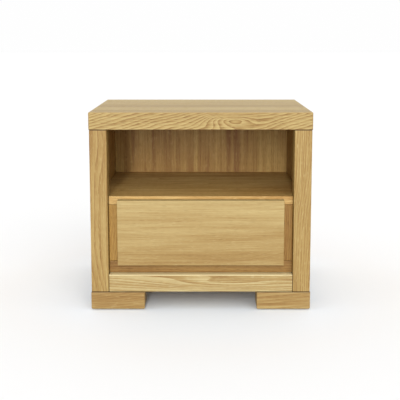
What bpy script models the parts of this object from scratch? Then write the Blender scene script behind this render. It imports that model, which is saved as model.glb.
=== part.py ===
"""A solid-oak bedside cabinet: an open niche above one drawer that has no handle.

It stands on four block feet. Two posts, the top and a base rail frame its front opening. The shelf,
the base board and a strip beside each post stop behind that frame. The drawer front hangs before
them, flush with the frame, and leaves a recessed reveal on both sides and below it, where the
fingers grip its edges to pull it open.
The drawer runs on a pair of ball-bearing slides, each with an outer, a middle and an inner member.

Lengths are in metres. The origin is on the floor under the middle of the cabinet: +X is to the right
seen from the front, +Y is to the back, +Z is up, and the drawer opens towards -Y.
"""

import math

import bmesh
import bpy
from mathutils import Matrix, Vector

# Overall size, and the clearances that every piece shares
TOTAL_WIDTH = 0.500
TOTAL_DEPTH = 0.400
TOTAL_HEIGHT = 0.453
JOINT_GAP = 0.0003  # between pieces that touch
ARRIS = 0.0012  # radius of an eased edge on the wood
RAIL_ARRIS = 0.0020  # on the front rail
BOX_ARRIS = 0.0008  # on the drawer box
BACK_ARRIS = 0.0006
FLOOR_ARRIS = 0.0004
BEVEL_SEGMENTS = 2
SHARP = math.radians(40)  # an edge that turns more than this is a sharp one
SIDES = (("left", -1), ("right", 1))
ENDS = (("front", -1), ("rear", 1))

# Frame and panels
TOP_THICKNESS = 0.039
OVERHANG = 0.001  # the top and the feet stand this far proud of the frame
POST_WIDTH = 0.039
POST_DEPTH = 0.040
PANEL_THICKNESS = 0.020  # sides, rear rail and drawer front
SHELF_THICKNESS = 0.019
BASE_THICKNESS = 0.028
RAIL_HEIGHT = 0.040
SET_BACK = 0.021  # of the shelf, the base board and the strips behind the frame
DRAWER_OPENING_HEIGHT = 0.131
BACK_THICKNESS = 0.008
BACK_RECESS = 0.007
REBATE_WIDTH = 0.010  # in the side panels, for the back

# Feet
FOOT_WIDTH = 0.122
FOOT_DEPTH = 0.060
FOOT_HEIGHT = 0.040
FOOT_TOE_RADIUS = 0.003
FOOT_TOE_STEPS = 4
PAD_SIZE = (0.058, 0.044, 0.002)
PAD_INSET = 0.007  # from the foot's outer end
PAD_CORNER = 0.004
PAD_CORNER_STEPS = 3

# Drawer
REVEAL_WIDTH = 0.021
RUNNER_SET_BACK = 0.0008  # of the strips and battens from the line of the drawer front's end
DRAWER_FRONT_HEIGHT = 0.150
DRAWER_FRONT_DROP = 0.006  # of its lower edge below the top of the base board
BOX_THICKNESS = 0.012
BOX_HEIGHT = 0.100
BOX_RISE = 0.008  # above the base board
BOX_REAR = 0.146
GROOVE_DEPTH = 0.006
GROOVE_HEIGHT = 0.0066
GROOVE_RISE = 0.006  # from the sides' lower edge
FLOOR_THICKNESS = 0.006

# Slides, in their own section: u runs from the cabinet's side to the drawer's, v is up
SLIDE_THICKNESS = 0.0127
SLIDE_LENGTH = 0.300
SLIDE_FRONT = -0.157
SHEET = 0.0012  # steel thickness
LIP = 0.0010
OUTER_HALF = 0.0225
OUTER_REACH = 0.0115
MIDDLE_HALF = 0.0180
MIDDLE_START = 0.0034
MIDDLE_REACH = 0.0110
INNER_HALF = 0.0136
INNER_START = 0.0056
BATTEN_HALF = 0.023

# Fasteners: (head radius, shank radius, length)
FRONT_SCREW = (0.0038, 0.0018, 0.024)
FOOT_SCREW = (0.0042, 0.0022, 0.050)
BACK_SCREW = (0.0034, 0.0016, 0.024)
SLIDE_SCREW = (0.0034, 0.0017, 0.0095)
SLIDE_HEAD_HEIGHT = 0.0014
SOCKET_RADIUS = 0.0016
SOCKET_DEPTH = 0.0012
SCREW_SIDES = 12
HEAD_RIM = 0.0004  # the straight rim round a countersunk head
WOOD_POINT = 0.3  # radius of a wood screw's point, as a share of its shank's
BLUNT_POINT = 0.5  # and of a slide screw's
PAN_WALL = 0.5  # height of a pan head's straight wall, as a share of the head's
PAN_CROWN = 0.7  # radius of its flat crown, as a share of the head's
CUT_CLEAR = 0.002  # how far a hole's cutter runs past the surface
FOOT_SCREW_RISE = 0.010  # of its head inside the foot
DOWEL_RADIUS = 0.004
DOWEL_LENGTH = 0.040
DOWEL_CHAMFER = 0.001

# Finishes: (linear colour, roughness, metallic)
FINISHES = {
    "oak_top": ((0.66, 0.47, 0.22), 0.45, 0.0),
    "oak_frame": ((0.60, 0.39, 0.16), 0.45, 0.0),
    "oak_front": ((0.58, 0.39, 0.17), 0.45, 0.0),
    "oak_panel": ((0.50, 0.31, 0.12), 0.50, 0.0),
    "oak_foot": ((0.52, 0.32, 0.12), 0.45, 0.0),
    "drawer_wood": ((0.67, 0.50, 0.29), 0.50, 0.0),
    "slide_steel": ((0.60, 0.61, 0.62), 0.35, 1.0),
    "screw_steel": ((0.52, 0.50, 0.44), 0.30, 1.0),
    "felt": ((0.11, 0.09, 0.07), 0.95, 0.0),
}

# Planes that follow from the sizes above
FRONT = -TOTAL_DEPTH / 2 + OVERHANG
REAR = TOTAL_DEPTH / 2 - OVERHANG
OUTER = TOTAL_WIDTH / 2 - OVERHANG
POST_INNER = OUTER - POST_WIDTH
PANEL_INNER = OUTER - PANEL_THICKNESS
REBATE_INNER = PANEL_INNER + REBATE_WIDTH
POST_REAR = FRONT + POST_DEPTH
BACK_REAR = REAR - BACK_RECESS
BACK_FRONT = BACK_REAR - BACK_THICKNESS
BOARD_FRONT = FRONT + SET_BACK
BOARD_REAR = BACK_FRONT
FOOT_TOP = PAD_SIZE[2] + FOOT_HEIGHT
RAIL_TOP = FOOT_TOP + RAIL_HEIGHT
BASE_TOP = RAIL_TOP + BASE_THICKNESS
SHELF_UNDERSIDE = BASE_TOP + DRAWER_OPENING_HEIGHT
SHELF_TOP = SHELF_UNDERSIDE + SHELF_THICKNESS
TOP_UNDERSIDE = TOTAL_HEIGHT - TOP_THICKNESS
DRAWER_HALF = POST_INNER - REVEAL_WIDTH
DRAWER_REAR_FACE = FRONT + PANEL_THICKNESS
DRAWER_FRONT_BOTTOM = BASE_TOP - DRAWER_FRONT_DROP
RUNNER_INNER = DRAWER_HALF + RUNNER_SET_BACK  # inner face of the strips and battens
SLIDE_OUTER_FACE = RUNNER_INNER - JOINT_GAP
BOX_OUTER = SLIDE_OUTER_FACE - SLIDE_THICKNESS - JOINT_GAP
BOX_INNER = BOX_OUTER - BOX_THICKNESS
BOX_FRONT = DRAWER_REAR_FACE + JOINT_GAP
BOX_BOTTOM = BASE_TOP + BOX_RISE
BOX_TOP = BOX_BOTTOM + BOX_HEIGHT
SLIDE_HEIGHT = (BOX_BOTTOM + BOX_TOP) / 2  # of the slides' centre line above the floor
GROOVE_BOTTOM = BOX_BOTTOM + GROOVE_RISE
GROOVE_TOP = GROOVE_BOTTOM + GROOVE_HEIGHT

# Places of the fasteners
FRONT_SCREW_X = 0.120
FRONT_SCREW_INSET = 0.026  # from the drawer box's lower and upper edges
FRONT_SCREW_Z = (("lower", BOX_BOTTOM + FRONT_SCREW_INSET), ("upper", BOX_TOP - FRONT_SCREW_INSET))
FOOT_SCREW_X = 0.152
FOOT_SCREW_Y = {"front": FRONT + POST_DEPTH / 2, "rear": REAR - PANEL_THICKNESS / 2}
BACK_SCREW_INSET = 0.0055  # from the edge of the rebate
BACK_SCREW_X = REBATE_INNER - BACK_SCREW_INSET
BACK_SCREW_Z = (("lower", 0.165), ("upper", 0.330))
SLIDE_SCREW_INSET = 0.040  # from each end of the slide
SLIDE_SCREW_Y = (
    ("front", SLIDE_FRONT + SLIDE_SCREW_INSET),
    ("rear", SLIDE_FRONT + SLIDE_LENGTH - SLIDE_SCREW_INSET),
)
DOWELS = {
    "front": (POST_INNER + POST_WIDTH / 2, FRONT + POST_DEPTH / 2),
    "rear": (PANEL_INNER + PANEL_THICKNESS / 2, BACK_FRONT - POST_DEPTH),
}


def clear_scene():
    """Remove every object that the scene starts with."""
    for obj in list(bpy.data.objects):
        bpy.data.objects.remove(obj, do_unlink=True)


def material(name, colour, roughness, metallic):
    """A Principled BSDF material; the colour is linear red, green and blue."""
    made = bpy.data.materials.new(name)
    made.use_nodes = True
    made.diffuse_color = (*colour, 1.0)
    shader = made.node_tree.nodes["Principled BSDF"]
    shader.inputs["Base Color"].default_value = (*colour, 1.0)
    shader.inputs["Roughness"].default_value = roughness
    shader.inputs["Metallic"].default_value = metallic
    return made


def make_materials():
    """The cabinet's materials, by name."""
    return {name: material(name, *values) for name, values in FINISHES.items()}


def empty(name, location):
    """The parent of the pieces that move together, on the line that they slide along."""
    made = bpy.data.objects.new(name, None)
    made.location = location
    bpy.context.scene.collection.objects.link(made)
    return made


def place(name, shape, centre, finish, parent=None, radius=0.0):
    """Turn a bmesh built round its own origin into an object at the given centre.

    A radius rounds its sharp outer edges, and leaves the inner corners of notches and grooves sharp.
    """
    bmesh.ops.recalc_face_normals(shape, faces=shape.faces)
    if radius:
        sharp = [edge for edge in shape.edges if edge.is_convex and edge.calc_face_angle() > SHARP]
        bmesh.ops.bevel(
            shape,
            geom=sharp,
            offset=radius,
            segments=BEVEL_SEGMENTS,
            profile=0.5,
            affect="EDGES",
            clamp_overlap=True,
        )
    mesh = bpy.data.meshes.new(name)
    shape.to_mesh(mesh)
    shape.free()
    mesh.shade_smooth()
    mesh.set_sharp_from_angle(angle=SHARP)
    if finish is not None:
        mesh.materials.append(finish)
    made = bpy.data.objects.new(name, mesh)
    bpy.context.scene.collection.objects.link(made)
    made.location = Vector(centre)
    if parent is not None:
        made.parent = parent
        made.location = Vector(centre) - parent.location
    return made


def prism(outline, axis, length):
    """Extrude an outline along X, Y or Z, half of the length to each side of it.

    An outline's points are (y, z) for axis X, (x, z) for Y and (x, y) for Z.
    """
    shape = bmesh.new()
    corners = []
    for a, b in outline:
        point = {"X": (0.0, a, b), "Y": (a, 0.0, b), "Z": (a, b, 0.0)}[axis]
        corners.append(shape.verts.new(point))
    cap = shape.faces.new(corners)
    along = Vector([length if name == axis else 0.0 for name in "XYZ"])
    bmesh.ops.translate(shape, verts=corners, vec=-along / 2)
    grown = bmesh.ops.extrude_face_region(shape, geom=[cap])
    moved = [item for item in grown["geom"] if isinstance(item, bmesh.types.BMVert)]
    bmesh.ops.translate(shape, verts=moved, vec=along)
    return shape


def board(name, x, y, z, finish, parent=None, radius=ARRIS):
    """A rectangular board between (low, high) limits along each axis."""
    half = [(high - low) / 2 for low, high in (x, y, z)]
    centre = [(high + low) / 2 for low, high in (x, y, z)]
    outline = [(-half[0], -half[1]), (half[0], -half[1]), (half[0], half[1]), (-half[0], half[1])]
    return place(name, prism(outline, "Z", 2 * half[2]), centre, finish, parent, radius)


def mirrored(low, high, sign):
    """The limits of a piece across X on one side of the cabinet, sign -1 for the left."""
    return (low, high) if sign > 0 else (-high, -low)


def plan_board(name, outline, z, finish):
    """A board cut to an outline in plan, its points given for the right half from front to back."""
    left_half = [(-x, y) for x, y in reversed(outline)]
    shape = prism(outline + left_half, "Z", z[1] - z[0])
    return place(name, shape, (0.0, 0.0, sum(z) / 2), finish, radius=ARRIS)


def turned(rings, sides=SCREW_SIDES):
    """A closed solid of rings round Z: each is (radius, height, whether the ring is a hexagon)."""
    shape = bmesh.new()
    loops = []
    for radius, height, hexagon in rings:
        loop = []
        for step in range(sides):
            angle = 2 * math.pi * step / sides
            flat = math.cos(math.pi / 6) / math.cos(angle % (math.pi / 3) - math.pi / 6)
            reach = radius * flat if hexagon else radius
            loop.append(shape.verts.new((reach * math.cos(angle), reach * math.sin(angle), height)))
        loops.append(loop)
    for low, high in zip(loops, loops[1:]):
        for step in range(sides):
            after = (step + 1) % sides
            shape.faces.new((low[step], low[after], high[after], high[step]))
    shape.faces.new(reversed(loops[0]))
    shape.faces.new(loops[-1])
    return shape


def socket(top):
    """The rings of a hexagonal socket in a screw head whose top is at the given height."""
    return [(SOCKET_RADIUS, top, True), (SOCKET_RADIUS, top - SOCKET_DEPTH, True)]


def countersunk_rings(size, spare=0.0):
    """A wood screw along Z, its head's top at 0; spare widens and lengthens it to make its hole."""
    head, shank, length = size
    cone = head - shank
    return [
        (shank * WOOD_POINT + spare, -length - spare, False),
        (shank + spare, -length + 2 * shank - spare, False),
        (shank + spare, -cone - HEAD_RIM, False),
        (head + spare, -HEAD_RIM, False),
        (head + spare, 0.0, False),
    ]


def pan_head_rings(size, spare=0.0):
    """A short screw whose head sits on the steel, its underside at 0; with spare, its hole instead."""
    head, shank, length = size
    rings = [
        (shank * BLUNT_POINT + spare, -length - spare, False),
        (shank + spare, -length + shank - spare, False),
    ]
    if spare:
        return rings + [(shank + spare, CUT_CLEAR, False)]
    return rings + [
        (shank, 0.0, False),
        (head, 0.0, False),
        (head, SLIDE_HEAD_HEIGHT * PAN_WALL, False),
        (head * PAN_CROWN, SLIDE_HEAD_HEIGHT, False),
    ]


def facing(direction):
    """The rotation that turns +Z, the way that a screw's head faces, to a direction."""
    return Vector(direction).to_track_quat("Z", "Y").to_matrix().to_4x4()


def screw(name, rings, point, direction, finish, parent=None):
    """A screw with its head at a point and facing a direction."""
    shape = turned(rings + socket(rings[-1][1]))
    made = place(name, shape, point, finish, parent)
    made.rotation_euler = facing(direction).to_euler()
    return made


def drill(name, rings, points, direction, boards):
    """Cut the same hole into boards at each point: the cutter is one hidden object."""
    cutter = bmesh.new()
    for point in points:
        one = turned(rings)
        one.transform(Matrix.Translation(point) @ facing(direction))
        bmesh.ops.recalc_face_normals(one, faces=one.faces)
        mesh = bpy.data.meshes.new(name)
        one.to_mesh(mesh)
        one.free()
        cutter.from_mesh(mesh)
        bpy.data.meshes.remove(mesh)
    tool = place(name, cutter, (0.0, 0.0, 0.0), None)
    tool.hide_render = True
    tool.display_type = "WIRE"
    for target in boards:
        hole = target.modifiers.new(name, "BOOLEAN")
        hole.object = tool
        hole.operation = "DIFFERENCE"
        hole.solver = "EXACT"


def make_top(finishes):
    """The top board, a little proud of the frame on every side."""
    half_width = TOTAL_WIDTH / 2
    half_depth = TOTAL_DEPTH / 2
    return board(
        "top_board",
        (-half_width, half_width),
        (-half_depth, half_depth),
        (TOP_UNDERSIDE, TOTAL_HEIGHT),
        finishes["oak_top"],
    )


def make_side(side, sign, finishes):
    """A front post and the side panel behind it, with the rebate that takes the back."""
    upright = (FOOT_TOP + JOINT_GAP, TOP_UNDERSIDE - JOINT_GAP)
    post = board(
        f"front_post_{side}",
        mirrored(POST_INNER, OUTER, sign),
        (FRONT, POST_REAR),
        upright,
        finishes["oak_frame"],
    )
    outline = [
        (PANEL_INNER, POST_REAR + JOINT_GAP),
        (OUTER, POST_REAR + JOINT_GAP),
        (OUTER, REAR),
        (REBATE_INNER, REAR),
        (REBATE_INNER, BACK_FRONT),
        (PANEL_INNER, BACK_FRONT),
    ]
    centre = (sign * (PANEL_INNER + OUTER) / 2, 0.0, sum(upright) / 2)
    local = [(sign * x - centre[0], y) for x, y in outline]
    shape = prism(local, "Z", upright[1] - upright[0])
    panel = place(f"side_panel_{side}", shape, centre, finishes["oak_frame"], radius=ARRIS)
    return post, panel


def make_base(finishes):
    """The front and rear rails, and the base board on them."""
    rail = (FOOT_TOP + JOINT_GAP, RAIL_TOP)
    front_half = POST_INNER - JOINT_GAP
    front_rail = board(
        "base_rail_front",
        (-front_half, front_half),
        (FRONT, POST_REAR),
        rail,
        finishes["oak_frame"],
        radius=RAIL_ARRIS,
    )
    tongue_front = BACK_FRONT + JOINT_GAP
    rear_outline = [
        (PANEL_INNER - JOINT_GAP, REAR - PANEL_THICKNESS),
        (PANEL_INNER - JOINT_GAP, tongue_front),
        (REBATE_INNER - JOINT_GAP, tongue_front),
        (REBATE_INNER - JOINT_GAP, REAR),
    ]
    rear_rail = plan_board("base_rail_rear", rear_outline, rail, finishes["oak_frame"])
    plan_board("base_board", set_back_outline(), (RAIL_TOP + JOINT_GAP, BASE_TOP), finishes["oak_panel"])
    return front_rail, rear_rail


def set_back_outline():
    """The right half of the shelf and of the base board: notched round the posts."""
    return [
        (POST_INNER - JOINT_GAP, BOARD_FRONT),
        (POST_INNER - JOINT_GAP, POST_REAR + JOINT_GAP),
        (PANEL_INNER - JOINT_GAP, POST_REAR + JOINT_GAP),
        (PANEL_INNER - JOINT_GAP, BOARD_REAR),
    ]


def make_shelf(finishes):
    """The shelf between the niche and the drawer."""
    plan_board("middle_shelf", set_back_outline(), (SHELF_UNDERSIDE, SHELF_TOP), finishes["oak_panel"])


def make_back(finishes):
    """The back, in the rebates of the side panels."""
    half = REBATE_INNER - JOINT_GAP
    limits = (RAIL_TOP + JOINT_GAP, TOP_UNDERSIDE - JOINT_GAP)
    depth = (BACK_FRONT + JOINT_GAP, BACK_REAR)
    return board("back_panel", (-half, half), depth, limits, finishes["oak_panel"], radius=BACK_ARRIS)


def make_runner(side, sign, finishes):
    """The strip that closes the reveal beside a post, and the batten that carries the slide."""
    across = mirrored(RUNNER_INNER, POST_INNER - JOINT_GAP, sign)
    opening = (BASE_TOP + JOINT_GAP, SHELF_UNDERSIDE - JOINT_GAP)
    board(f"reveal_strip_{side}", across, (BOARD_FRONT, POST_REAR), opening, finishes["oak_panel"])
    across = mirrored(RUNNER_INNER, PANEL_INNER - JOINT_GAP, sign)
    along = (POST_REAR + JOINT_GAP, BOARD_REAR)
    rise = (SLIDE_HEIGHT - BATTEN_HALF, SLIDE_HEIGHT + BATTEN_HALF)
    return board(f"runner_batten_{side}", across, along, rise, finishes["oak_panel"])


def quarter_arc(centre, radius, start, steps):
    """Points of a quarter circle in a plane, anticlockwise from a start angle."""
    points = []
    for step in range(steps + 1):
        angle = start + math.pi / 2 * step / steps
        points.append((centre[0] + radius * math.cos(angle), centre[1] + radius * math.sin(angle)))
    return points


def make_pad(name, centre, finish):
    """A felt pad with rounded corners."""
    width, depth, thickness = PAD_SIZE
    round_x = width / 2 - PAD_CORNER
    round_y = depth / 2 - PAD_CORNER
    outline = []
    for quarter, (across, along) in enumerate(((1, 1), (-1, 1), (-1, -1), (1, -1))):
        corner = (across * round_x, along * round_y)
        outline += quarter_arc(corner, PAD_CORNER, quarter * math.pi / 2, PAD_CORNER_STEPS)
    place(name, prism(outline, "Z", thickness), centre, finish)


def make_foot(end, side, toward, sign, finishes):
    """A block foot, with rounded lower corners, and the felt pad under its outer end."""
    height = FOOT_HEIGHT - JOINT_GAP
    half_width = FOOT_WIDTH / 2
    corner = half_width - FOOT_TOE_RADIUS
    low = -height / 2 + FOOT_TOE_RADIUS
    outline = quarter_arc((-corner, low), FOOT_TOE_RADIUS, math.pi, FOOT_TOE_STEPS)
    outline += quarter_arc((corner, low), FOOT_TOE_RADIUS, 1.5 * math.pi, FOOT_TOE_STEPS)
    outline += [(half_width, height / 2), (-half_width, height / 2)]
    centre_x = sign * (TOTAL_WIDTH / 2 - half_width)
    centre_y = toward * (TOTAL_DEPTH / 2 - FOOT_DEPTH / 2)
    centre = (centre_x, centre_y, FOOT_TOP - height / 2)
    shape = prism(outline, "Y", FOOT_DEPTH)
    foot = place(f"foot_{end}_{side}", shape, centre, finishes["oak_foot"], radius=ARRIS)
    pad_x = sign * (TOTAL_WIDTH / 2 - PAD_INSET - PAD_SIZE[0] / 2)
    make_pad(f"felt_pad_{end}_{side}", (pad_x, centre_y, PAD_SIZE[2] / 2), finishes["felt"])
    return foot


def make_drawer(finishes, drawer):
    """The drawer front and the box behind it, whose floor lies in a groove."""
    front = board(
        "drawer_front",
        (-DRAWER_HALF, DRAWER_HALF),
        (FRONT, DRAWER_REAR_FACE),
        (DRAWER_FRONT_BOTTOM, DRAWER_FRONT_BOTTOM + DRAWER_FRONT_HEIGHT),
        finishes["oak_front"],
        drawer,
    )
    wood = finishes["drawer_wood"]
    centre_z = (BOX_BOTTOM + BOX_TOP) / 2
    half_z = (BOX_TOP - BOX_BOTTOM) / 2
    groove = (GROOVE_BOTTOM - centre_z, GROOVE_TOP - centre_z)
    half = BOX_THICKNESS / 2
    grooved = [(-half, -half_z), (half, -half_z), (half, half_z), (-half, half_z)]
    grooved += [(-half, groove[1]), (GROOVE_DEPTH - half, groove[1])]
    grooved += [(GROOVE_DEPTH - half, groove[0]), (-half, groove[0])]
    sides = []
    for side, sign in SIDES:
        outline = [(sign * a, b) for a, b in grooved]
        centre = (sign * (BOX_OUTER + BOX_INNER) / 2, (BOX_FRONT + BOX_REAR) / 2, centre_z)
        shape = prism(outline, "Y", BOX_REAR - BOX_FRONT)
        sides.append(place(f"drawer_side_{side}", shape, centre, wood, drawer, BOX_ARRIS))
    inner = BOX_INNER - JOINT_GAP
    outline = [(-a, b) for a, b in grooved]
    centre = (0.0, BOX_FRONT + half, centre_z)
    shape = prism(outline, "X", 2 * inner)
    box_front = place("drawer_box_front", shape, centre, wood, drawer, BOX_ARRIS)
    board(
        "drawer_back",
        (-inner, inner),
        (BOX_REAR - BOX_THICKNESS, BOX_REAR),
        (GROOVE_TOP, BOX_TOP),
        wood,
        drawer,
        radius=BOX_ARRIS,
    )
    floor_half = BOX_INNER + GROOVE_DEPTH - JOINT_GAP
    floor_front = BOX_FRONT + BOX_THICKNESS - GROOVE_DEPTH + JOINT_GAP
    floor_low = GROOVE_BOTTOM + JOINT_GAP
    board(
        "drawer_floor",
        (-floor_half, floor_half),
        (floor_front, BOX_REAR),
        (floor_low, floor_low + FLOOR_THICKNESS),
        wood,
        drawer,
        radius=FLOOR_ARRIS,
    )
    return front, box_front, sides


def channel(start, reach, half, lip=0.0):
    """A channel's section in (u, v): web at start, flanges to reach, and lips turned in."""
    way = 1 if reach > start else -1
    web = start + way * SHEET
    inner = half - SHEET
    upper = [(start, half), (reach, half)]
    if lip:
        upper += [(reach, inner - lip), (reach - way * SHEET, inner - lip)]
        upper += [(reach - way * SHEET, inner)]
    else:
        upper += [(reach, inner)]
    upper += [(web, inner)]
    return upper + [(u, -v) for u, v in reversed(upper)]


def make_slide_member(name, section, sign, finish, parent=None):
    """One member of a slide: its section extruded along the drawer's travel."""
    outline = [(sign * (SLIDE_OUTER_FACE - u), v) for u, v in section]
    centre = (0.0, SLIDE_FRONT + SLIDE_LENGTH / 2, SLIDE_HEIGHT)
    return place(name, prism(outline, "Y", SLIDE_LENGTH), centre, finish, parent)


def make_slide(side, sign, finishes, drawer):
    """A slide's three members. The middle one hangs on a carriage, which travels half as far."""
    steel = finishes["slide_steel"]
    carriage = empty(f"carriage_{side}", (sign * SLIDE_OUTER_FACE, SLIDE_FRONT, SLIDE_HEIGHT))
    outer = make_slide_member(
        f"slide_outer_{side}", channel(0.0, OUTER_REACH, OUTER_HALF, LIP), sign, steel
    )
    make_slide_member(
        f"slide_middle_{side}",
        channel(MIDDLE_START, MIDDLE_REACH, MIDDLE_HALF, LIP),
        sign,
        steel,
        carriage,
    )
    inner = make_slide_member(
        f"slide_inner_{side}", channel(SLIDE_THICKNESS, INNER_START, INNER_HALF), sign, steel, drawer
    )
    return outer, inner


def fasten_drawer_front(front, box_front, finish, drawer):
    """Screws through the drawer box into the drawer front."""
    rings = countersunk_rings(FRONT_SCREW)
    inside = BOX_FRONT + BOX_THICKNESS - JOINT_GAP
    points = []
    for side, sign in SIDES:
        for level, height in FRONT_SCREW_Z:
            point = (sign * FRONT_SCREW_X, inside, height)
            screw(f"front_screw_{level}_{side}", rings, point, (0, 1, 0), finish, drawer)
            points.append(point)
    hole = countersunk_rings(FRONT_SCREW, JOINT_GAP) + [(FRONT_SCREW[0] + JOINT_GAP, CUT_CLEAR, False)]
    drill("cut_front_screws", hole, points, (0, 1, 0), (box_front, front))


def fasten_foot(end, side, sign, foot, rail, finish):
    """A screw up through a foot into the rail, its head sunk in a counterbore."""
    point = (sign * FOOT_SCREW_X, FOOT_SCREW_Y[end], PAD_SIZE[2] + FOOT_SCREW_RISE)
    screw(f"foot_screw_{end}_{side}", countersunk_rings(FOOT_SCREW), point, (0, 0, -1), finish)
    counterbore = (FOOT_SCREW[0] + JOINT_GAP, 2 * FOOT_SCREW_RISE, False)
    hole = countersunk_rings(FOOT_SCREW, JOINT_GAP) + [counterbore]
    drill(f"cut_foot_screw_{end}_{side}", hole, [point], (0, 0, -1), (foot, rail))


def fasten_back(side, sign, back, panel, finish):
    """Screws through the back's edge into a side panel."""
    points = []
    for level, height in BACK_SCREW_Z:
        point = (sign * BACK_SCREW_X, BACK_REAR - JOINT_GAP, height)
        screw(f"back_screw_{level}_{side}", countersunk_rings(BACK_SCREW), point, (0, 1, 0), finish)
        points.append(point)
    hole = countersunk_rings(BACK_SCREW, JOINT_GAP) + [(BACK_SCREW[0] + JOINT_GAP, CUT_CLEAR, False)]
    drill(f"cut_back_screws_{side}", hole, points, (0, 1, 0), (back, panel))


def fasten_slide(side, sign, slide, carriers, finish, drawer):
    """Screws that hold the outer member to its batten and the inner one to the drawer's side."""
    members = {
        "outer": (SHEET, -sign, None),
        "inner": (SLIDE_THICKNESS - SHEET, sign, drawer),
    }
    for member, (depth, way, parent) in members.items():
        seat = SLIDE_OUTER_FACE - depth
        points = []
        for end, along in SLIDE_SCREW_Y:
            point = Vector((sign * seat + way * JOINT_GAP, along, SLIDE_HEIGHT))
            rings = pan_head_rings(SLIDE_SCREW)
            screw(f"slide_screw_{member}_{end}_{side}", rings, point, (way, 0, 0), finish, parent)
            points.append(point)
        hole = pan_head_rings(SLIDE_SCREW, JOINT_GAP)
        targets = (slide[member], carriers[member])
        drill(f"cut_slide_{member}_{side}", hole, points, (way, 0, 0), targets)


def make_dowels(end, top, uprights, finish):
    """Glued dowels that locate the top on a pair of uprights."""
    across, along = DOWELS[end]
    half = DOWEL_LENGTH / 2
    rings = [
        (DOWEL_RADIUS - DOWEL_CHAMFER, -half, False),
        (DOWEL_RADIUS, -half + DOWEL_CHAMFER, False),
        (DOWEL_RADIUS, half - DOWEL_CHAMFER, False),
        (DOWEL_RADIUS - DOWEL_CHAMFER, half, False),
    ]
    hole = [
        (DOWEL_RADIUS + JOINT_GAP, -half - JOINT_GAP, False),
        (DOWEL_RADIUS + JOINT_GAP, half + JOINT_GAP, False),
    ]
    for (side, sign), upright in zip(SIDES, uprights):
        point = (sign * across, along, TOP_UNDERSIDE)
        place(f"top_dowel_{end}_{side}", turned(rings), point, finish)
        drill(f"cut_dowel_{end}_{side}", hole, [point], (0, 0, 1), (top, upright))


def build():
    """Make every piece, then the screws and dowels that join them."""
    clear_scene()
    finishes = make_materials()
    steel = finishes["screw_steel"]
    drawer = empty("drawer_travel", (0.0, FRONT, SLIDE_HEIGHT))

    top = make_top(finishes)
    rails = dict(zip(("front", "rear"), make_base(finishes)))
    make_shelf(finishes)
    back = make_back(finishes)
    front, box_front, box_sides = make_drawer(finishes, drawer)
    fasten_drawer_front(front, box_front, steel, drawer)

    posts = []
    panels = []
    for (side, sign), box_side in zip(SIDES, box_sides):
        post, panel = make_side(side, sign, finishes)
        posts.append(post)
        panels.append(panel)
        fasten_back(side, sign, back, panel, steel)
        batten = make_runner(side, sign, finishes)
        outer, inner = make_slide(side, sign, finishes, drawer)
        slide = {"outer": outer, "inner": inner}
        carriers = {"outer": batten, "inner": box_side}
        fasten_slide(side, sign, slide, carriers, steel, drawer)
        for end, toward in ENDS:
            foot = make_foot(end, side, toward, sign, finishes)
            fasten_foot(end, side, sign, foot, rails[end], steel)
    make_dowels("front", top, posts, finishes["drawer_wood"])
    make_dowels("rear", top, panels, finishes["drawer_wood"])


build()
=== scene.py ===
"""The looks of a solid-oak bedside cabinet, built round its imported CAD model.

The CAD boards, slides, screws and pads keep their shape and get procedural materials here. Each oak
board is cut from its own imaginary log: growth rings round a pith line, pores, rays and glued staves
are worked out in the solid, so the grain runs through from face to edge to end.
Lengths are in metres, in the CAD frame: +X right, +Y to the back, +Z up.
"""

import math

import bpy
from mathutils import Euler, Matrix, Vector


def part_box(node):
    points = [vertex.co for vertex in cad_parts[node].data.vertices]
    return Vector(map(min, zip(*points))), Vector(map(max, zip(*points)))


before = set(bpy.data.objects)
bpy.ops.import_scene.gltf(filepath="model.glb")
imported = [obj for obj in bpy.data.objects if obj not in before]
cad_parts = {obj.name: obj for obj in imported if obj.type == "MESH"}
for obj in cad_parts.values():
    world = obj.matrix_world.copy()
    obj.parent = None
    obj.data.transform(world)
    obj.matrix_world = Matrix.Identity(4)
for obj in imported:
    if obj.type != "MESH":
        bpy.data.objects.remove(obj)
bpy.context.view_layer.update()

WHITE = (1.0, 1.0, 1.0, 1.0)

# Camera
CAMERA_PLACE = (0.0056, -2.122, 0.6202)
CAMERA_PITCH = 8.10  # degrees below the horizon
CAMERA_SENSOR = 36.0  # mm wide
CAMERA_LENS = 78.2  # mm
CAMERA_SHIFT = (-0.008, -0.10)
CAMERA_REACH = 50.0

# Light. Suns have angles in degrees: azimuth 0 is straight in front and grows to the left
ROOM_STRENGTH = 0.90
BACKDROP_COLOUR = (0.993, 0.993, 0.993, 1.0)
KEY_LIGHTS = 8
KEY_AZIMUTH = 3.6
KEY_BOTTOM = 2.4
KEY_TOP = 27.0
KEY_SOFTNESS = 5.2
KEY_STRENGTH = 1.55
FILL = {"azimuth": -14.0, "elevation": 26.0, "softness": 44.0, "strength": 1.00}

# Floor
FLOOR_SIZE = 60.0
FLOOR_COLOUR = (0.885, 0.885, 0.885, 1.0)
FLOOR_NEAR_COLOUR = (0.875, 0.925, 0.985, 1.0)
FLOOR_UNDER_COLOUR = (0.97, 1.0, 1.0, 1.0)
FLOOR_UNDER = (0.10, 0.24)  # from the middle, where the under colour starts and ends its fade
FLOOR_NEAR = 0.50  # from the middle, where the near colour has faded out
FLOOR_ROUGHNESS = 0.9
FLOOR_SPECULAR = 0.1

# Oak colours, from the palest latewood to the pores
OAK_CREAM = (0.460, 0.338, 0.142, 1.0)
OAK_TAN = (0.312, 0.188, 0.055, 1.0)
OAK_BROWN = (0.195, 0.083, 0.015, 1.0)
PORE_BROWN = (0.095, 0.042, 0.010, 1.0)
RAY_CREAM = (0.50, 0.38, 0.18, 1.0)

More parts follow.
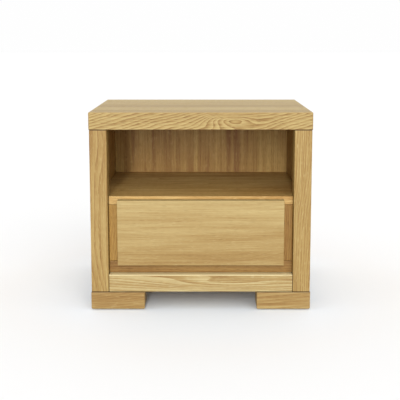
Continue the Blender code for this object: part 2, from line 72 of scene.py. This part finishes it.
# Oak noises: cycles for each metre (along the grain, across it, through the board), detail, roughness
OAK_NOISES = {
    "bend": ((2.6, 9.0, 9.0), 1.0, 0.5),
    "wobble": ((16.0, 70.0, 70.0), 2.0, 0.5),
    "pores": ((60.0, 2300.0, 2300.0), 1.0, 0.4),
    "dashes": ((20.0, 560.0, 560.0), 2.0, 0.55),
    "fibre": ((6.5, 400.0, 400.0), 3.0, 0.60),
    "streaks": ((3.4, 62.0, 62.0), 2.0, 0.5),
    "clouds": ((3.0, 14.0, 14.0), 2.0, 0.5),
    "rays": ((75.0, 1100.0, 70.0), 1.0, 0.4),  # along the grain, round the pith, out from it
    "uneven": ((0.37, 1.0, 1.0), 1.0, 0.5),  # for each ring, seed, unused
}
NOISE_MIDDLE = 0.5
PORE_RANGE = (0.56, 0.68)  # noise between these values fades in
DASH_RANGE = (0.42, 0.68)
RAY_RANGE = (0.60, 0.72)

# Oak rings and staves
SEED_SHIFT = 0.37  # staves that each unit of seed moves the glue lines by
SEED_STEP = 17.31  # sets the random numbers of one seed apart from those of the next
LUCK_ALONG = 7.0  # how far along the log a stave may look up its grain
LUCK_ACROSS = 3.0  # and how far across it
PITH_SPREAD = 0.5  # how far the pith may shift from stave to stave, of a stave's width
PITH_GIRTH = 0.06  # turns an angle round the pith into a length
RING_UNEVEN = 1.6  # rings that one may be early or late by
EARLY_POWER = 1.8  # how fast the earlywood fades out
EARLY_START = 0.07  # of a ring, over which it fades in
EARLY_PORES = 0.075  # added to the noise of the pores in full earlywood
PORE_LEVEL = -0.035  # added to it everywhere

# Oak shade, from 0 for cream to 1 for brown: where it starts, where it is tan, and what each thing adds
SHADE_BASE = 0.30
SHADE_MIDDLE = 0.5
SHADE_RING = 0.24
SHADE_DASH = 0.34
SHADE_FIBRE = 0.88
SHADE_STREAK = 0.50
SHADE_CLOUD = 0.40

# Oak surface
OAK_ROUGHNESS = 0.38
PORE_ROUGHNESS = 0.20  # added
FIBRE_ROUGHNESS = 0.18  # added
RAY_POLISH = 0.06  # taken away
OAK_SPECULAR = 0.35
FIBRE_HEIGHT = 0.3
EARLY_DEPTH = 0.15
OAK_BUMP = (0.30, 0.0003)  # strength and depth

# What is painted near a face: how far it reaches into the wood, its share of the colour, and its colour
# Dark in the joints: painted crevice shade, with the oil and dust that gather there
JOINT_DIRT_AND_SHADE = ((0.0009, 0.0016), 0.72, (0.075, 0.032, 0.008, 1.0))
# Painted light, strong: a face that lies in shade made pale, here the rail's top under the drawer front
PAINTED_STRONG_LIGHT = ((0.0006, 0.0020), 0.80, (0.80, 0.68, 0.38, 1.0))
# Painted light, gentle: the top and the outer sides made paler, standing in for sheen and light
PAINTED_SOFT_LIGHT = ((0.0006, 0.0020), 0.28, (0.80, 0.61, 0.25, 1.0))

# Vectors in the oak are (along the grain, across it, through the board), from the board's middle
OAK_INPUTS = (
    ("Place", "NodeSocketVector", (0.0, 0.0, 0.0)),
    ("Seed", "NodeSocketFloat", 1.0),
    ("Stave", "NodeSocketFloat", 0.08),  # width of one glued stave
    ("Ring", "NodeSocketFloat", 0.0032),  # from one growth ring to the next
    ("Pith", "NodeSocketVector", (0.0, 0.01, -0.06)),  # middle of the log, across from the stave's
    ("Taper", "NodeSocketFloat", 0.03),  # how far the rings close in for each metre along the log
    ("Wander", "NodeSocketFloat", 0.045),  # how far the pith strays in long waves
    ("Wobble", "NodeSocketFloat", 0.0032),  # how far the rings stray in short ones
    ("Eye", "NodeSocketVector", (0.0, 0.0, 0.0)),  # middle of an oval figure
    ("Eye size", "NodeSocketVector", (0.05, 0.02, 0.05)),
    ("Eye lift", "NodeSocketFloat", 0.0),  # how far the rings bulge there
    ("Contrast", "NodeSocketFloat", 1.0),  # of rings, fibres, streaks and clouds together
    ("Rings", "NodeSocketFloat", 1.0),  # strength, as for the next three
    ("Pores", "NodeSocketFloat", 0.62),
    ("Rays", "NodeSocketFloat", 0.22),
    ("Streaks", "NodeSocketFloat", 1.0),
    ("Variety", "NodeSocketFloat", 0.20),  # of shade from stave to stave
    ("Fade", "NodeSocketFloat", 0.0),  # of shade for each metre across the grain
    ("Tint", "NodeSocketColor", WHITE),
)
OAK_OUTPUTS = (
    ("Colour", "NodeSocketColor"),
    ("Roughness", "NodeSocketFloat"),
    ("Height", "NodeSocketFloat"),
)
# What the oak's colour is multiplied by on each kind of board
TINTS = {
    "top": (0.865, 0.855, 0.75, 1.0),
    "frame": (0.91, 0.905, 0.80, 1.0),
    "side": (1.12, 0.98, 0.72, 1.0),
    "front": (0.90, 0.915, 0.885, 1.0),
    "rail": (1.04, 1.15, 1.34, 1.0),
    "batten": (0.84, 0.67, 0.39, 1.0),
    # The left reveal strip is painted lighter and the right one darker, to make up for the key light, which
    # shades the left strip and fully lights the right
    "strip_left": (0.93, 0.75, 0.37, 1.0),
    "strip_right": (0.76, 0.58, 0.29, 1.0),
    # The base board is painted darker, as shade under the drawer front
    "base": (0.72, 0.58, 0.35, 1.0),
    "back": (1.20, 1.03, 0.65, 1.0),
    "shelf": (1.56, 1.56, 1.54, 1.0),
    "foot": (0.86, 0.83, 0.75, 1.0),
    "box": (1.25, 1.40, 1.90, 1.0),
}
ONE_PIECE = 0.2  # a stave wider than the board, which is then one piece of wood

# Metal and felt
STEEL = ((0.62, 0.64, 0.66, 1.0), 0.32)  # colour and roughness
SCREW_STEEL = ((0.60, 0.56, 0.42, 1.0), 0.28)
METAL_LINES = ((900.0, 12.0, 900.0), 3.0, 0.6)  # a noise as for the oak, drawn out along Y
METAL_CLOUDS = ((60.0, 60.0, 60.0), 3.0, 0.5)
METAL_SHARE = 0.5  # of each of the two noises
METAL_DARK = 0.72  # of the colour, where it is darkest
METAL_RANGE = (0.2, 0.8)  # noise over which the roughness goes from its least to its most
METAL_POLISH = 0.08  # how far its least lies below the given roughness
METAL_DULL = 0.10  # how far its most lies above it
FELT_DARK = (0.05, 0.04, 0.03, 1.0)
FELT_LIGHT = (0.17, 0.14, 0.11, 1.0)
FELT_FUZZ = ((1800.0, 1800.0, 1800.0), 3.0, 0.7)
FELT_ROUGHNESS = 0.95
FELT_BUMP = (0.6, 0.0004)

# Colour sockets of a Mix node, by index, because its number and vector sockets have the same names
MIX_SHARE = 0
MIX_A = 6
MIX_B = 7
MIX_RESULT = 2


class Graph:
    """Short ways to add nodes to a tree and link them. What is computed comes back as output sockets."""

    def __init__(self, tree):
        self.tree = tree

    def node(self, kind, **settings):
        made = self.tree.nodes.new(kind)
        for name, value in settings.items():
            setattr(made, name, value)
        return made

    def feed(self, socket, value):
        """Link a socket, or set its number, tuple or colour."""
        if isinstance(value, bpy.types.NodeSocket):
            self.tree.links.new(value, socket)
        else:
            socket.default_value = value

    def math(self, operation, a, b=0.0, clamp=False):
        made = self.node("ShaderNodeMath", operation=operation, use_clamp=clamp)
        self.feed(made.inputs[0], a)
        self.feed(made.inputs[1], b)
        return made.outputs[0]

    def add(self, a, b, clamp=False):
        return self.math("ADD", a, b, clamp)

    def less(self, a, b):
        return self.math("SUBTRACT", a, b)

    def times(self, a, b):
        return self.math("MULTIPLY", a, b)

    def about_zero(self, noise):
        """A noise of 0 to 1, moved to lie about zero."""
        return self.less(noise, NOISE_MIDDLE)

    def vector(self, operation, a, b=(0.0, 0.0, 0.0)):
        made = self.node("ShaderNodeVectorMath", operation=operation)
        self.feed(made.inputs[0], a)
        self.feed(made.inputs[1], b)
        return made.outputs["Value" if operation == "LENGTH" else "Vector"]

    def split(self, vector):
        made = self.node("ShaderNodeSeparateXYZ")
        self.feed(made.inputs[0], vector)
        return made.outputs[:]

    def join(self, x, y, z):
        made = self.node("ShaderNodeCombineXYZ")
        for socket, value in zip(made.inputs, (x, y, z)):
            self.feed(socket, value)
        return made.outputs[0]

    def rest_place(self):
        """Where the point is at rest, in metres: it goes with a piece that moves."""
        return self.node("ShaderNodeTexCoord").outputs["Object"]

    def noise(self, place, kind, output="Fac"):
        """A noise of 0 to 1, or three as a colour for the output "Color". kind is its scale along each
        axis, its detail and its roughness."""
        scale, detail, roughness = kind
        made = self.node("ShaderNodeTexNoise")
        self.feed(made.inputs["Vector"], self.vector("MULTIPLY", place, scale))
        made.inputs["Scale"].default_value = 1.0
        made.inputs["Detail"].default_value = detail
        made.inputs["Roughness"].default_value = roughness
        return made.outputs[output]

    def random(self, value):
        """A colour of three random numbers for each whole number."""
        made = self.node("ShaderNodeTexWhiteNoise", noise_dimensions="1D")
        self.feed(made.inputs["W"], value)
        return made.outputs["Color"]

    def remap(self, value, low, high, to_low=0.0, to_high=1.0, smooth=False):
        """value, moved from the range low to high into the range to_low to to_high and held in it."""
        made = self.node("ShaderNodeMapRange", clamp=True)
        if smooth:
            made.interpolation_type = "SMOOTHSTEP"
        names = ("Value", "From Min", "From Max", "To Min", "To Max")
        for name, number in zip(names, (value, low, high, to_low, to_high)):
            self.feed(made.inputs[name], number)
        return made.outputs[0]

    def mix(self, share, a, b, blend="MIX"):
        """A colour, from a where share is 0 to b, or to a blended with b, where it is 1."""
        made = self.node("ShaderNodeMix", data_type="RGBA", blend_type=blend)
        for index, value in ((MIX_SHARE, share), (MIX_A, a), (MIX_B, b)):
            self.feed(made.inputs[index], value)
        return made.outputs[MIX_RESULT]

    def bump(self, kind, height):
        """A normal. kind is the strength and the depth in metres."""
        strength, depth = kind
        made = self.node("ShaderNodeBump")
        made.inputs["Strength"].default_value = strength
        made.inputs["Distance"].default_value = depth
        self.feed(made.inputs["Height"], height)
        return made.outputs[0]


def oak_group():
    """The node group that every oak material shares. Place is (along the grain, across, through)."""
    tree = bpy.data.node_groups.new("oak_solid", "ShaderNodeTree")
    for name, kind, default in OAK_INPUTS:
        socket = tree.interface.new_socket(name, in_out="INPUT", socket_type=kind)
        socket.default_value = default
    for name, kind in OAK_OUTPUTS:
        tree.interface.new_socket(name, in_out="OUTPUT", socket_type=kind)
    g = Graph(tree)
    given = g.node("NodeGroupInput").outputs
    along, across, through = g.split(given["Place"])

    # Each stave is its own piece of wood, so it looks up its grain somewhere else in the log
    shift = g.times(given["Seed"], SEED_SHIFT)
    stave = g.math("FLOOR", g.add(g.math("DIVIDE", across, given["Stave"]), shift))
    luck = g.split(g.random(g.add(stave, g.times(given["Seed"], SEED_STEP))))
    middle = g.times(g.less(g.add(stave, 0.5), shift), given["Stave"])
    in_stave = g.less(across, middle)
    far_along = g.add(along, g.add(g.times(luck[0], LUCK_ALONG), given["Seed"]))
    far = g.join(far_along, g.add(in_stave, g.times(luck[1], LUCK_ACROSS)), through)

    # Growth rings: distance from a pith line that tapers and wanders
    bend = g.noise(far, OAK_NOISES["bend"], "Color")
    bend = g.vector("SUBTRACT", bend, (NOISE_MIDDLE, NOISE_MIDDLE, NOISE_MIDDLE))
    bend = g.vector("MULTIPLY", bend, g.join(0.0, given["Wander"], given["Wander"]))
    _, pith_across, pith_through = g.split(given["Pith"])
    spread = g.times(given["Stave"], PITH_SPREAD)
    pith_across = g.add(pith_across, g.times(g.about_zero(luck[2]), spread))
    from_pith = g.join(0.0, g.less(in_stave, pith_across), g.less(through, pith_through))
    from_pith = g.vector("ADD", from_pith, bend)
    _, out_across, out_through = g.split(from_pith)
    girth = g.times(g.math("ARCTAN2", out_across, out_through), PITH_GIRTH)
    radius = g.add(g.vector("LENGTH", from_pith), g.times(along, given["Taper"]))
    wobble = g.noise(far, OAK_NOISES["wobble"])
    radius = g.add(radius, g.times(g.about_zero(wobble), given["Wobble"]))

    # An oval figure, where the rings bulge towards the surface
    eye = g.vector("DIVIDE", g.vector("SUBTRACT", given["Place"], given["Eye"]), given["Eye size"])
    eye = g.vector("LENGTH", eye)
    bulge = g.math("EXPONENT", g.times(g.times(eye, eye), -1.0))
    radius = g.add(radius, g.times(bulge, given["Eye lift"]))

    # Earlywood is dark at the start of each ring and fades towards its end
    rings = g.math("DIVIDE", radius, given["Ring"])
    uneven = g.noise(g.join(rings, given["Seed"], 0.0), OAK_NOISES["uneven"])
    rings = g.add(rings, g.times(uneven, RING_UNEVEN))
    phase = g.math("FRACT", rings)
    early = g.math("POWER", g.less(1.0, phase), EARLY_POWER)
    early = g.times(early, g.remap(phase, 0.0, EARLY_START, smooth=True))

    # Pores cut along the grain, fibres, and rays that run out from the pith
    dense = g.add(g.times(early, EARLY_PORES), PORE_LEVEL)
    pores = g.remap(g.add(g.noise(far, OAK_NOISES["pores"]), dense), *PORE_RANGE)
    dashes = g.remap(g.noise(far, OAK_NOISES["dashes"]), *DASH_RANGE)
    fibre = g.noise(far, OAK_NOISES["fibre"])
    streak = g.noise(far, OAK_NOISES["streaks"])
    cloud = g.noise(far, OAK_NOISES["clouds"])
    rays = g.remap(g.noise(g.join(far_along, girth, radius), OAK_NOISES["rays"]), *RAY_RANGE)

    # Colour: from cream latewood through tan to brown, porous earlywood
    shade = g.times(early, g.add(g.times(dashes, SHADE_DASH), SHADE_RING))
    shade = g.times(shade, given["Rings"])
    long_streaks = g.times(g.about_zero(streak), given["Streaks"])
    shade = g.add(shade, g.times(g.about_zero(fibre), SHADE_FIBRE))
    shade = g.add(shade, g.times(long_streaks, SHADE_STREAK))
    shade = g.add(shade, g.times(g.about_zero(cloud), SHADE_CLOUD))
    shade = g.times(shade, given["Contrast"])
    shade = g.add(shade, g.times(g.about_zero(luck[1]), given["Variety"]))
    shade = g.add(shade, g.times(across, given["Fade"]))
    shade = g.add(shade, SHADE_BASE, clamp=True)
    colour = g.mix(g.remap(shade, 0.0, SHADE_MIDDLE), OAK_CREAM, OAK_TAN)
    colour = g.mix(g.remap(shade, SHADE_MIDDLE, 1.0), colour, OAK_BROWN)
    colour = g.mix(g.times(pores, given["Pores"]), colour, PORE_BROWN)
    colour = g.mix(g.times(rays, given["Rays"]), colour, RAY_CREAM)
    colour = g.mix(1.0, colour, given["Tint"], "MULTIPLY")

    roughness = g.add(g.times(pores, PORE_ROUGHNESS), g.times(fibre, FIBRE_ROUGHNESS))
    roughness = g.less(g.add(roughness, OAK_ROUGHNESS), g.times(rays, RAY_POLISH))
    height = g.less(g.times(fibre, FIBRE_HEIGHT), g.add(pores, g.times(early, EARLY_DEPTH)))
    result = g.node("NodeGroupOutput")
    for name, value in (("Colour", colour), ("Roughness", roughness), ("Height", height)):
        g.feed(result.inputs[name], value)
    return tree


OAK = oak_group()


def new_material(name):
    """A material, with its graph and its shader."""
    made = bpy.data.materials.new(name)
    made.use_nodes = True
    return made, Graph(made.node_tree), made.node_tree.nodes["Principled BSDF"]


def dress(node, material):
    """Give a CAD node a material in place of its plain one."""
    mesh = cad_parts[node].data
    mesh.materials.clear()
    mesh.materials.append(material)


def colour_near_faces(g, colour, where, low, high, marks):
    """The colour near faces of the board's box: painted shade and dirt in joints, painted light elsewhere.
    """
    for faces, (reach, share, mark_colour) in marks:
        for axis, sign in faces:
            index = "xyz".index(axis)
            edge = (high if sign == "+" else low)[index] - (low + high)[index] / 2
            depth = g.math("ABSOLUTE", g.less(where[index], edge))
            colour = g.mix(g.remap(depth, *reach, share, 0.0), colour, mark_colour)
    return colour


def oak_board(node, grain, face, tone, seed, joints=(), strongly_lit=(), softly_lit=(), **settings):
    """Dress a board. grain is the axis along the fibres, face the one that its broad face looks along.

    The three lists name faces such as "x+". The joints darken, with painted shade and with the oil and dust
    that gather there. The other two get painted light: strongly on a face in shade, gently on the top and
    the sides, for sheen and light. settings are inputs of the oak group.
    """
    low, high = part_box(node)
    made, g, shader = new_material(f"oak_{node}")
    where = g.split(g.vector("SUBTRACT", g.rest_place(), (low + high) / 2))
    across = next(axis for axis in "XYZ" if axis not in (grain, face))
    along_across_through = [where["XYZ".index(axis)] for axis in (grain, across, face)]
    wood = g.node("ShaderNodeGroup", node_tree=OAK)
    g.feed(wood.inputs["Place"], g.join(*along_across_through))
    settings.update(Seed=seed, Tint=TINTS[tone])
    for name, value in settings.items():
        wood.inputs[name.replace("_", " ")].default_value = value

    # Painted shade with real dirt in the joints, and painted light on the faces of the other two lists
    marks = ((joints, JOINT_DIRT_AND_SHADE), (strongly_lit, PAINTED_STRONG_LIGHT), (softly_lit, PAINTED_SOFT_LIGHT))
    g.feed(shader.inputs["Base Color"], colour_near_faces(g, wood.outputs["Colour"], where, low, high, marks))
    g.feed(shader.inputs["Roughness"], wood.outputs["Roughness"])
    g.feed(shader.inputs["Normal"], g.bump(OAK_BUMP, wood.outputs["Height"]))
    shader.inputs["Specular IOR Level"].default_value = OAK_SPECULAR
    dress(node, made)


def metal(name, colour, roughness):
    """Zinc-plated steel, drawn along its length and slightly clouded."""
    made, g, shader = new_material(name)
    where = g.rest_place()
    lines = g.times(g.noise(where, METAL_LINES), METAL_SHARE)
    tint = g.add(lines, g.times(g.noise(where, METAL_CLOUDS), METAL_SHARE))
    darker = (*(METAL_DARK * part for part in colour[:3]), 1.0)
    dull = g.remap(tint, *METAL_RANGE, roughness - METAL_POLISH, roughness + METAL_DULL)
    g.feed(shader.inputs["Base Color"], g.mix(tint, darker, colour))
    g.feed(shader.inputs["Roughness"], dull)
    shader.inputs["Metallic"].default_value = 1.0
    return made


def felt():
    """Dark, fuzzy felt for the pads."""
    made, g, shader = new_material("felt")
    fuzz = g.noise(g.rest_place(), FELT_FUZZ)
    g.feed(shader.inputs["Base Color"], g.mix(fuzz, FELT_DARK, FELT_LIGHT))
    g.feed(shader.inputs["Normal"], g.bump(FELT_BUMP, fuzz))
    shader.inputs["Roughness"].default_value = FELT_ROUGHNESS
    return made


def dress_frame():
    """The boards in the middle of the cabinet."""
    # Light is painted on the top's upper face, standing in for its sheen
    oak_board(
        "top_board", "X", "Z", "top", seed=15.613, joints=["z-"], softly_lit=["z+"],
        Stave=0.072, Taper=0.20, Ring=0.0056, Pith=(0.0, 0.060, 0.045), Rings=1.9, Variety=0.7, Fade=0.2,
        Wobble=0.0060, Eye=(0.066, -0.2, 0.002), Eye_size=(0.052, 0.08, 0.016), Eye_lift=0.028,
    )
    # Light is painted on the rail's top, which lies in shade under the drawer front
    oak_board(
        "base_rail_front", "X", "Y", "rail", seed=5.0, joints=["x-", "x+"], strongly_lit=["z+"],
        Stave=ONE_PIECE, Taper=0.045, Ring=0.0066, Rings=1.4, Pores=0.35, Wander=0.02, Wobble=0.002,
        Streaks=1.5, Eye=(0.0427, 0.0, -0.02), Eye_size=(0.15, 0.014, 0.04), Eye_lift=0.018,
    )
    oak_board("base_rail_rear", "X", "Y", "frame", seed=6.0, Stave=ONE_PIECE)
    oak_board("base_board", "X", "Z", "base", seed=7.0, Stave=0.09, Streaks=1.6)
    oak_board("middle_shelf", "X", "Z", "shelf", seed=8.0, Stave=0.08, Streaks=2.0, Variety=0.35)
    oak_board(
        "back_panel", "Z", "Y", "back", seed=9.0, Stave=0.062, Ring=0.0024, Pith=(0.0, 0.09, -0.03),
        Taper=0.01, Wander=0.012, Rings=0.7, Streaks=3.4, Wobble=0.001, Variety=0.15,
    )


def dress_side(side, seed, outside):
    """The boards of one side, with seeds counted from seed. outside is the panel's outer face."""
    oak_board(
        f"front_post_{side}", "Z", "Y", "frame", seed, joints=["z-", "z+"],
        Stave=ONE_PIECE, Taper=0.02, Ring=0.0035, Wobble=0.002, Pores=0.30, Rays=0.45,
    )
    # Light is painted on the panel's outer face
    oak_board(
        f"side_panel_{side}", "Z", "X", "side", seed + 10, joints=["z-", "z+", "y-"],
        softly_lit=[outside], Stave=0.075, Taper=0.04,
    )
    oak_board(f"reveal_strip_{side}", "Z", "Y", f"strip_{side}", seed + 20, Stave=ONE_PIECE, Contrast=0.7)
    oak_board(f"runner_batten_{side}", "Y", "X", "batten", seed + 30, Stave=ONE_PIECE)
    oak_board(f"drawer_side_{side}", "Y", "X", "box", seed + 40, Stave=ONE_PIECE, Contrast=0.5)
    for end, foot_seed in (("front", seed + 55), ("rear", seed + 54)):
        oak_board(
            f"foot_{end}_{side}", "X", "Y", "foot", foot_seed, joints=["z+"],
            Stave=ONE_PIECE, Ring=0.0075, Rings=0.7, Taper=0.12, Wobble=0.004, Pores=0.30, Streaks=1.8,
        )
        oak_board(f"top_dowel_{end}_{side}", "Z", "Y", "box", seed + 60, Stave=ONE_PIECE)


def dress_drawer():
    """The boards of the drawer but its two sides."""
    oak_board(
        "drawer_front", "X", "Y", "front", seed=10.0, Stave=0.06, Ring=0.0036, Pith=(0.0, 0.05, -0.10),
        Taper=0.02, Wander=0.03, Contrast=0.60, Rings=0.4, Pores=0.25, Streaks=2.9, Wobble=0.0015, Fade=-1.3,
    )
    oak_board("drawer_box_front", "X", "Y", "box", seed=11.0, Stave=ONE_PIECE, Contrast=0.5)
    oak_board("drawer_back", "X", "Y", "box", seed=12.0, Stave=ONE_PIECE, Contrast=0.5)
    oak_board("drawer_floor", "X", "Z", "box", seed=13.0, Stave=0.11, Contrast=0.5)


def dress_fittings():
    """The felt pads, the slides and every screw."""
    zinc = metal("zinc_steel", *STEEL)
    zinc_screw = metal("zinc_screw", *SCREW_STEEL)
    pad = felt()
    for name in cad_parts:
        if "_screw" in name:
            dress(name, zinc_screw)
        elif name.startswith("slide_"):
            dress(name, zinc)
        elif name.startswith("felt_pad_"):
            dress(name, pad)


def add_floor():
    """A wide, matt floor that runs out into the backdrop."""
    bpy.ops.mesh.primitive_plane_add(size=FLOOR_SIZE, location=(0.0, 0.0, 0.0))
    floor = bpy.context.object
    floor.name = "studio_floor"
    made, g, shader = new_material("studio_floor")
    # Close to the wood the floor is cooler, which cancels the warm light that the wood throws on it, and
    # beneath the cabinet it is palest, because little light reaches it
    away = g.vector("LENGTH", g.rest_place())
    near = g.remap(away, FLOOR_UNDER[1], FLOOR_NEAR, 1.0, 0.0, smooth=True)
    under = g.remap(away, *FLOOR_UNDER, 1.0, 0.0, smooth=True)
    colour = g.mix(near, FLOOR_COLOUR, FLOOR_NEAR_COLOUR)
    g.feed(shader.inputs["Base Color"], g.mix(under, colour, FLOOR_UNDER_COLOUR))
    shader.inputs["Roughness"].default_value = FLOOR_ROUGHNESS
    shader.inputs["Specular IOR Level"].default_value = FLOOR_SPECULAR
    floor.data.materials.append(made)


def add_sun(name, azimuth, elevation, softness, strength):
    """A distant light. softness is its width in degrees."""
    light = bpy.data.lights.new(name, "SUN")
    light.energy = strength
    light.angle = math.radians(softness)
    made = bpy.data.objects.new(name, light)
    made.rotation_euler = Euler((math.radians(90.0 - elevation), 0.0, -math.radians(azimuth)))
    bpy.context.scene.collection.objects.link(made)


def add_key():
    """A tall, narrow softbox in front, a little to the left, as a stack of distant lights."""
    step = (KEY_TOP - KEY_BOTTOM) / (KEY_LIGHTS - 1)
    for index in range(KEY_LIGHTS):
        elevation = KEY_BOTTOM + index * step
        add_sun(f"key_{index}", KEY_AZIMUTH, elevation, KEY_SOFTNESS, KEY_STRENGTH / KEY_LIGHTS)


def add_room():
    """A white room that lights from all round, and the backdrop that the camera sees in its place."""
    world = bpy.data.worlds.new("studio")
    bpy.context.scene.world = world
    world.use_nodes = True
    g = Graph(world.node_tree)
    lit = world.node_tree.nodes["Background"]
    seen = g.node("ShaderNodeBackground")
    for background, colour, strength in ((lit, WHITE, ROOM_STRENGTH), (seen, BACKDROP_COLOUR, 1.0)):
        background.inputs["Color"].default_value = colour
        background.inputs["Strength"].default_value = strength
    mix = g.node("ShaderNodeMixShader")
    to_camera = g.node("ShaderNodeLightPath").outputs["Is Camera Ray"]
    for socket, value in zip(mix.inputs, (to_camera, lit.outputs[0], seen.outputs[0])):
        g.feed(socket, value)
    g.feed(world.node_tree.nodes["World Output"].inputs["Surface"], mix.outputs[0])


def add_camera():
    """A long lens in front, a little above the top and looking slightly down."""
    data = bpy.data.cameras.new("camera")
    data.sensor_width = CAMERA_SENSOR
    data.lens = CAMERA_LENS
    data.shift_x, data.shift_y = CAMERA_SHIFT
    data.clip_end = CAMERA_REACH
    camera = bpy.data.objects.new("camera", data)
    camera.location = CAMERA_PLACE
    camera.rotation_euler = Euler((math.radians(90.0 - CAMERA_PITCH), 0.0, 0.0))
    bpy.context.scene.collection.objects.link(camera)
    bpy.context.scene.camera = camera


dress_frame()
dress_side("left", 2.0, "x-")
dress_side("right", 3.0, "x+")
dress_drawer()
dress_fittings()
add_floor()
add_room()
add_key()
add_sun("fill", **FILL)
add_camera()
bpy.context.scene.view_settings.view_transform = "Standard"
